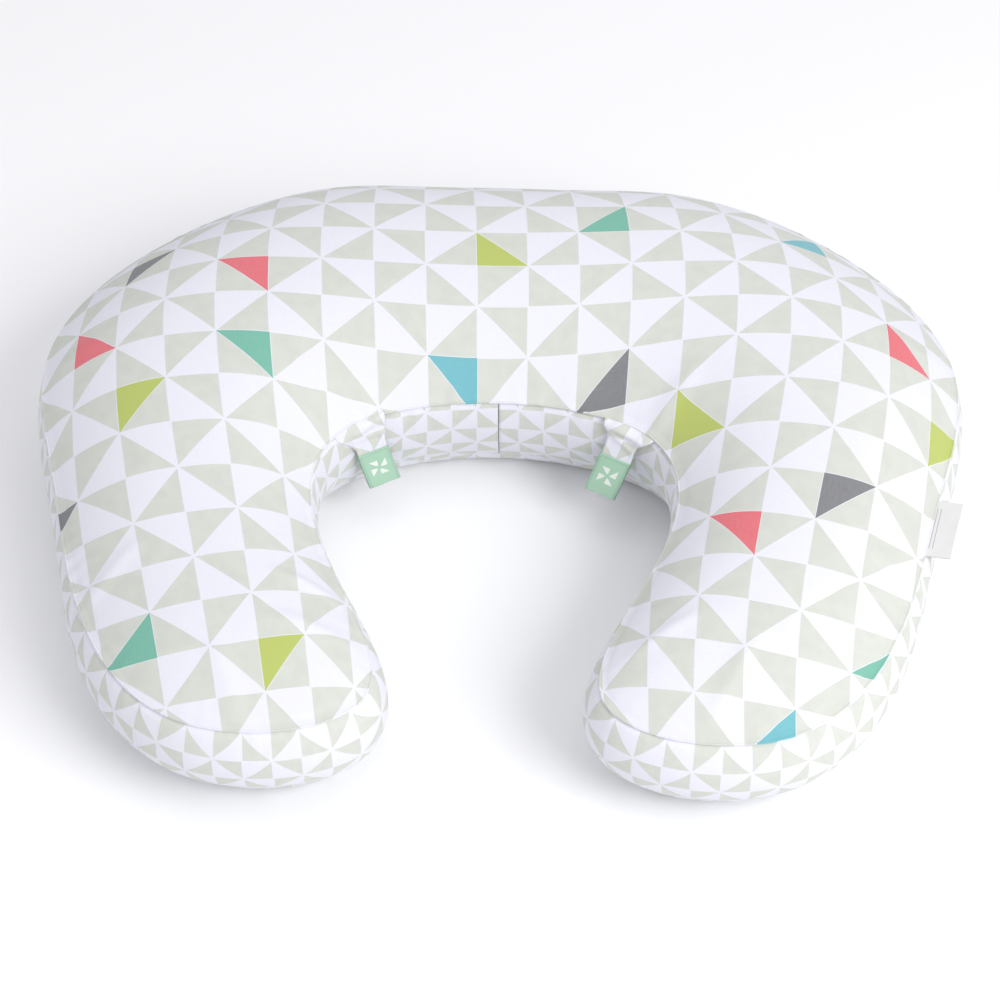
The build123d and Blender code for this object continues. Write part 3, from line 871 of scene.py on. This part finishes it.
def make_bottom():
    rim = RIM - RIM_OUT * bottom_inset(PLACE)[:, None]
    obj = panel("cover_bottom", bottom_height, rim=rim, lip=BOTTOM_LIP, flip=True)
    set_uv(obj, vertex_places(obj.data)[:, :2] / BAND_CELL)
    finish_piece(obj, "cushion", "cover_print_small", BAND_PRINT, "cover_bottom_panel", stuffed=True)


def inner_band(name, inset, columns_step=8, rows=12):
    """The band's form moved inwards, all the way round."""
    columns = np.arange(0, BAND_COLUMNS, columns_step)
    levels = []
    for level in np.linspace(0.04, 0.96, rows):
        row = band_point(columns, np.full(len(columns), level))
        row[:, :2] -= BAND_OUT[columns] * inset
        levels.append(row)
    return mesh_object(name, np.concatenate(levels), grid_faces(rows, len(columns), closed=True))


def crinkle(plan, scale, height):
    """Small irregular hollows of a loose inner cloth or of packed fibre."""
    x, y = plan[:, 0] / scale, plan[:, 1] / scale
    return height * (np.sin(x + 1.7 * np.sin(0.6 * y)) * np.sin(1.1 * y + 1.3 * np.sin(0.5 * x)) - 1)


def make_inner_pillow():
    """The casing, and the fibre that fills it. They show only when the cover is off."""
    def casing_height(plan, distance, share, place):
        low = seam_z(plan[:, 1]) + crown(plan[:, 1]) * (1 - (1 - share) ** CROWN_POWER)
        return low - 4.0 * MM + crinkle(plan, 14 * MM, 0.6 * MM)

    def fill_height(plan, distance, share, place):
        return casing_height(plan, distance, share, place) - 4 * MM + crinkle(plan, 7 * MM, 0.9 * MM)

    def casing_low(plan, distance, share, place):
        return bottom_height(plan, distance, share, place) + 2.5 * MM

    def fill_low(plan, distance, share, place):
        return casing_low(plan, distance, share, place) + 2.5 * MM - crinkle(plan, 7 * MM, 0.5 * MM)

    top_rim, low_rim = RIM - RIM_OUT * 5 * MM, RIM - RIM_OUT * (bottom_inset(PLACE)[:, None] + 4 * MM)
    edge = [(-3 * MM, -2 * MM)]
    coarse = {"rings": 14, "stride": 5}
    made = [
        (panel("casing_top", casing_height, rim=top_rim, lip=edge, **coarse), "casing_top_panel"),
        (panel("casing_bottom", casing_low, rim=low_rim, flip=True, **coarse), "casing_bottom_panel"),
        (inner_band("casing_side", 6.5 * MM), "casing_band"),
    ]
    for obj, node in made:
        finish_piece(obj, "cushion", "casing_cloth", CASING, node, stuffed=True)
    top = panel("fibre_top", fill_height, rim=RIM - RIM_OUT * 9 * MM, **coarse)
    low = panel("fibre_low", fill_low, rim=low_rim - RIM_OUT * 4 * MM, flip=True, **coarse)
    side = inner_band("fibre_filling", 10 * MM)
    with bpy.context.temp_override(active_object=side, selected_editable_objects=[side, top, low]):
        bpy.ops.object.join()
    finish_piece(side, "cushion", "polyester_fibre", FIBRE, "fibre_fill", stuffed=True)


# ---------------------------------------------------------------------------- ribbons: tabs, labels, tag
def unit(vector):
    v = np.array(vector, float)
    return v / np.linalg.norm(v)


def ribbon(name, path, normals, across, width, thickness, columns=18, shift=None, uv_scale=1.0):
    """Closed strip of even thickness swept along path. across is the direction of its width, normals
    point out of its face, width is one number or one for each row, and shift(u, v) lifts the face. The
    UV map is (across, along), divided by uv_scale."""
    rows = len(path)
    width = np.full(rows, width) if np.isscalar(width) else width
    steps = np.linalg.norm(np.diff(path, axis=0), axis=1)
    along = np.concatenate([[0], np.cumsum(steps)])
    t = np.linspace(-1, 1, columns + 1)
    thin = np.sqrt(np.clip(1 - np.abs(t) ** 14, 0, 1))
    sides = []
    for sign in (1, -1):
        u = (width[:, None] / 2) * (t if sign > 0 else t[::-1])
        lift = sign * thickness / 2 * thin + (0 if shift is None else shift(u, along[:, None]))
        lift = np.broadcast_to(lift, u.shape)[..., None]
        grid = path[:, None, :] + across * u[..., None] + normals[:, None, :] * lift
        sides.append((grid, u))
    count = 2 * (columns + 1)
    points = np.concatenate([sides[0][0], sides[1][0]], axis=1).reshape(-1, 3)
    u_all = np.concatenate([sides[0][1], sides[1][1]], axis=1).ravel()
    v_all = np.repeat(along, count)
    faces = grid_faces(rows, count, closed=True)
    last = (rows - 1) * count
    for c in range(columns):
        near = (c, count - 1 - c, count - 2 - c, c + 1)
        faces.append(near)
        faces.append(tuple(last + i for i in reversed(near)))
    return mesh_object(name, points, faces, np.column_stack([u_all, v_all]) / uv_scale)


def hanging_path(root, out, lean, sideways, start, end, rows):
    """Path that leaves the seam level, bends over and runs down from root, leaned out by lean degrees
    from upright and swung sideways. Returns the points and the normals of its upper face."""
    s = np.linspace(start, end, rows)
    turn = math.radians(90 - lean) * smooth_step(s, -4 * MM, 4 * MM)
    way = np.cos(turn)[:, None] * out + np.sin(turn)[:, None] * np.array([0, 0, -1.0])
    normals = np.sin(turn)[:, None] * out + np.cos(turn)[:, None] * np.array([0, 0, 1.0])
    path = np.concatenate([[[0, 0, 0]], np.cumsum((way[1:] + way[:-1]) / 2 * (s[1] - s[0]), axis=0)])
    straight = np.array(root) + way[-1] * end
    swing = math.tan(math.radians(TAB_SWING)) * np.clip(s, 0, None) ** 1.3 / end**0.3
    return path - path[-1] + straight + sideways * swing[:, None], normals


def folded_over(path, normals, gap, turn_rows=8):
    """Path that runs down one face, turns round the end and comes back up the other face."""
    end, normal = path[-1], normals[-1]
    way = unit(path[-1] - path[-2])
    angles = np.linspace(0, math.pi, turn_rows + 2)[1:-1]
    round_end = [end + normal * gap * math.cos(a) + way * gap * math.sin(a) for a in angles]
    round_normals = [normal * math.cos(a) + way * math.sin(a) for a in angles]
    points = np.concatenate([path + normals * gap, round_end, (path - normals * gap)[::-1]])
    return points, np.concatenate([normals, round_normals, -normals[::-1]])


ROOT_FOLD_AT = 3.5 * MM
ROOT_FOLD_HALF_WIDTH = 2.6 * MM
SECOND_FOLD_AT = 6.5 * MM
SECOND_FOLD_HALF_WIDTH = 2.2 * MM
HEM_ROLL = 0.35 * MM
SLACK_WAVE = 0.5 * MM


def make_tab(name, tab):
    """Printed strap, sewn in under the top panel, and the woven label wrapped round its free end."""
    root, phase = tab["root"], tab["phase"]
    across = np.array(tab["along"])
    out = np.array([across[1], -across[0], 0.0])
    sideways = across * tab["inwards"]
    path, normals = hanging_path(root, out, tab["lean"], sideways, -TAB_TUCK, TAB_LENGTH, TAB_ROWS)
    s = np.linspace(-TAB_TUCK, TAB_LENGTH, TAB_ROWS)
    before, after, narrowing = tab["spread"]
    gathered = 1 - smooth_step(s, -2 * MM, narrowing)
    width = TAB_WIDTH + (before + after) * gathered
    middle = path + across * ((after - before) / 2 * gathered)[:, None]
    roll_height, roll_slant = tab["roll"]

    def crease(u, v):
        free = 1 - smooth_step(v, 24 * MM, 34 * MM)
        from_fold = v - TAB_TUCK - ROOT_FOLD_AT + roll_slant * u
        first_fold = roll_height * np.exp(-((from_fold / ROOT_FOLD_HALF_WIDTH) ** 2))
        from_second = from_fold - SECOND_FOLD_AT - 0.3 * u
        second_fold = 0.45 * roll_height * np.exp(-((from_second / SECOND_FOLD_HALF_WIDTH) ** 2))
        hem = HEM_ROLL * np.exp(-(((np.abs(u) - TAB_WIDTH / 2 + 1.2 * MM) / (1.1 * MM)) ** 2))
        wave = SLACK_WAVE * np.sin(u / (3.1 * MM) + phase + v / (9 * MM))
        slack = wave * np.exp(-(((v - 12 * MM) / (8 * MM)) ** 2))
        return free * (hem + slack + first_fold + second_fold)

    strap = ribbon(
        name + "_cloth", middle, normals, across, width, TAB_THICKNESS,
        columns=36, shift=crease, uv_scale=BAND_CELL,
    )
    bend_start = np.array(root) - out * 3 * MM
    bend_end = np.array(root) + out * 1 * MM - np.array([0, 0, 3 * MM])
    finish_piece(strap, name, "tab_cloth", BAND_PRINT, name + "_strap", sewn_at=(bend_start, bend_end))

    on_label = s > TAB_LENGTH - LABEL_LENGTH
    gap = TAB_THICKNESS / 2 + LABEL_THICKNESS / 2 + 0.15 * MM
    wrap, wrap_normals = folded_over(path[on_label], normals[on_label], gap)

    def ripple(u, v):
        return 0.12 * MM * np.sin(u / (2.3 * MM) + phase) * np.sin(v / (5 * MM))

    label = ribbon(
        name + "_ribbon", wrap, wrap_normals, across, 2 * LABEL_HALF_WIDTH, LABEL_THICKNESS, shift=ripple,
    )
    threads = loose_threads(wrap[0], wrap[-1], across, out, phase)
    with bpy.context.temp_override(active_object=label, selected_editable_objects=[label] + threads):
        bpy.ops.object.join()
    finish_piece(label, name, "woven_label", LABEL, name + "_label")


def loose_threads(front, back, across, out, seed):
    """A few short ends of yarn at the label's cut corners."""
    picks = np.random.default_rng(int(seed * 10) + 3)
    made = []
    for k in range(6):
        side = picks.choice([-1, 1])
        start = (front if k % 2 else back) + across * LABEL_HALF_WIDTH * side * picks.uniform(0.86, 0.98)
        way = unit(across * picks.uniform(-0.5, 0.5) + out * picks.uniform(0.1, 0.5) + np.array([0, 0, 0.9]))
        curl = unit(np.cross(way, out))
        t = np.linspace(0, 1, 8)[:, None]
        line = start + way * t * picks.uniform(1.2, 2.6) * MM + curl * t**2 * picks.uniform(-0.9, 0.9) * MM
        made.append(tube("yarn", line, 0.09 * MM, 5))
    return made


def tube(name, line, radius, sides=8):
    """Closed round tube along a line of points."""
    rows = len(line)
    way = np.gradient(line, axis=0)
    way /= np.linalg.norm(way, axis=1)[:, None]
    first = unit(np.cross(way[0], (0.3, 0.5, 0.8)))
    turn = np.linspace(0, 2 * math.pi, sides, endpoint=False)
    points = []
    for k in range(rows):
        a = unit(first - way[k] * (first @ way[k]))
        b = np.cross(way[k], a)
        shrink = 0.55 if k in (0, rows - 1) else 1.0
        points.append(line[k] + radius * shrink * (np.cos(turn)[:, None] * a + np.sin(turn)[:, None] * b))
    faces = grid_faces(rows, sides, closed=True)
    faces.append(tuple(reversed(range(sides))))
    faces.append(tuple((rows - 1) * sides + c for c in range(sides)))
    return mesh_object(name, np.concatenate(points), faces)


def make_tag():
    """Satin tape folded in two, its ends sewn in under the top panel."""
    along = np.array(TAG_ALONG)
    out = np.array([-along[1], along[0], 0.0])
    rise = math.radians(TAG_RISE)
    way = out * math.cos(rise) + np.array([0, 0, math.sin(rise)])
    up = np.array([0, 0, math.cos(rise)]) - out * math.sin(rise)
    s = np.linspace(-5 * MM, TAG_WIDTH - 0.4 * MM, 26)
    path = np.array(TAG_ROOT) + way * s[:, None]
    points, normals = folded_over(path, np.repeat([up], len(s), axis=0), 0.28 * MM)

    tag = ribbon("tag_tape", points, normals, along, TAG_LENGTH, 0.3 * MM, columns=40)
    mesh = tag.data
    flat = vertex_places(mesh)
    count = len(mesh.vertices) // len(points)
    u = (flat - np.repeat(points, count, axis=0)) @ along
    reach = np.clip((flat - np.array(TAG_ROOT)) @ way, 0, TAG_WIDTH) / TAG_WIDTH
    flat = flat + up * (0.5 * MM * np.sin(u / (8 * MM) + 0.6) * reach**1.5)[:, None]
    mesh.vertices.foreach_set("co", flat.ravel())
    mesh.update()
    root = np.array(TAG_ROOT)
    sewn_at = (root - way * 1.5 * MM, root + way * 1.5 * MM)
    finish_piece(tag, "side_tag", "satin_tag", TAG, "side_tag", sewn_at=sewn_at)


# ---------------------------------------------------------------------------- zip
def make_zip():
    for name, side in (("upper", 1), ("lower", -1)):
        z = ZIP_Z + side * (ROW_GAP + TAPE_WIDTH) / 2
        x = np.linspace(-TAPE_HALF_LENGTH, TAPE_HALF_LENGTH, 90)
        y = np.full(len(x), TAPE_FRONT_Y - TAPE_THICKNESS / 2)
        path = np.column_stack([x, y, np.full(len(x), z)])
        normals = np.repeat([[0.0, 1.0, 0.0]], len(x), axis=0)
        tape = ribbon("tape_" + name, path, normals, np.array([0, 0, 1.0]), TAPE_WIDTH, TAPE_THICKNESS, 10)
        finish_piece(tape, "cushion", "zip_tape", TAPE, "zipper_tape_" + name)

        first = -COIL_HALF_LENGTH + (COIL_PITCH if side > 0 else COIL_PITCH / 2)
        turns = []
        for at in np.arange(first, COIL_HALF_LENGTH - COIL_PITCH, COIL_PITCH):
            turns.append(coil_turn(at, side))
        with bpy.context.temp_override(active_object=turns[0], selected_editable_objects=turns):
            bpy.ops.object.join()
        turns[0].name = "coil_" + name
        finish_piece(turns[0], "cushion", "zip_coil", COIL, "zipper_coil_" + name)
    for node in ("zipper_slider", "zipper_pull", "zipper_end_stops"):
        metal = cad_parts[node].data
        metal.materials.clear()
        metal.materials.append(METAL)


def coil_turn(x, side):
    """One turn of the coil: out over the tape, round the nose and back at a slant."""
    root = ZIP_Z + side * (ROW_GAP / 2 + COIL_REACH)
    nose = ZIP_Z + side * (ROW_GAP / 2 + 0.3 * MM)
    low, high = TAPE_FRONT_Y + 0.38 * MM, TAPE_FRONT_Y + 1.25 * MM
    line = [
        (x, high, root),
        (x, high, nose + side * 0.4 * MM),
        (x + 0.1 * MM, (low + high) / 2, nose),
        (x + 0.35 * MM, low, nose + side * 0.4 * MM),
        (x + 0.75 * MM, low, root),
    ]
    return tube("turn", np.array(line), COIL_WIRE_RADIUS, 8)


make_cover()
make_bottom()
make_inner_pillow()
make_tab("tab_left", TAB_LEFT)
make_tab("tab_right", TAB_RIGHT)
make_tag()
make_zip()


# ---------------------------------------------------------------------------- floor, light, camera
FLOOR_HALF = 6
WORLD_STRENGTH = 0.68


def make_stage():
    corners = [(-FLOOR_HALF, -FLOOR_HALF, 0), (FLOOR_HALF, -FLOOR_HALF, 0)]
    corners += [(FLOOR_HALF, FLOOR_HALF, 0), (-FLOOR_HALF, FLOOR_HALF, 0)]
    floor = mesh_object("floor", corners, [(0, 1, 2, 3)], smooth=False)
    floor.location.z = CAD_BOX[0].z - 0.2 * MM
    n = Nodes("floor_white")
    n.set(Base_Color=linear(250, 250, 251), Roughness=0.9)
    floor.data.materials.append(n.material)

    world = bpy.data.worlds.new("studio")
    bpy.context.scene.world = world
    world.use_nodes = True
    world.node_tree.nodes["Background"].inputs["Color"].default_value = (0.97, 0.97, 1.0, 1)
    world.node_tree.nodes["Background"].inputs["Strength"].default_value = WORLD_STRENGTH

    def area_light(name, place, size, power, colour):
        light = bpy.data.lights.new(name, "AREA")
        light.shape = "RECTANGLE"
        light.size, light.size_y = size
        light.energy = power
        light.color = colour
        obj = bpy.data.objects.new(name, light)
        obj.location = place
        obj.rotation_euler = (-Vector(place)).to_track_quat("-Z", "Y").to_euler()
        bpy.context.collection.objects.link(obj)

    area_light("key", (1.35, -1.3, 1.7), (1.2, 1.2), 33, (1.0, 1.0, 1.0))
    area_light("top", (0.0, -0.2, 2.4), (1.6, 1.2), 7, (0.98, 0.98, 1.0))


CAMERA_PLACE = (41.03 * MM, -1133.3 * MM, 1282.8 * MM)
CAMERA_ELEVATION = 47.89
CAMERA_AZIMUTH = -1.975
CAMERA_LENS = 102.6


def make_camera():
    data = bpy.data.cameras.new("camera")
    data.lens = CAMERA_LENS
    data.sensor_width = 36
    data.clip_end = 20
    obj = bpy.data.objects.new("camera", data)
    obj.location = CAMERA_PLACE
    turn = Euler((math.radians(90 - CAMERA_ELEVATION), 0, math.radians(-CAMERA_AZIMUTH)), "XYZ")
    obj.rotation_euler = turn
    bpy.context.collection.objects.link(obj)
    bpy.context.scene.camera = obj


make_stage()
make_camera()
bpy.context.scene.view_settings.view_transform = "Standard"
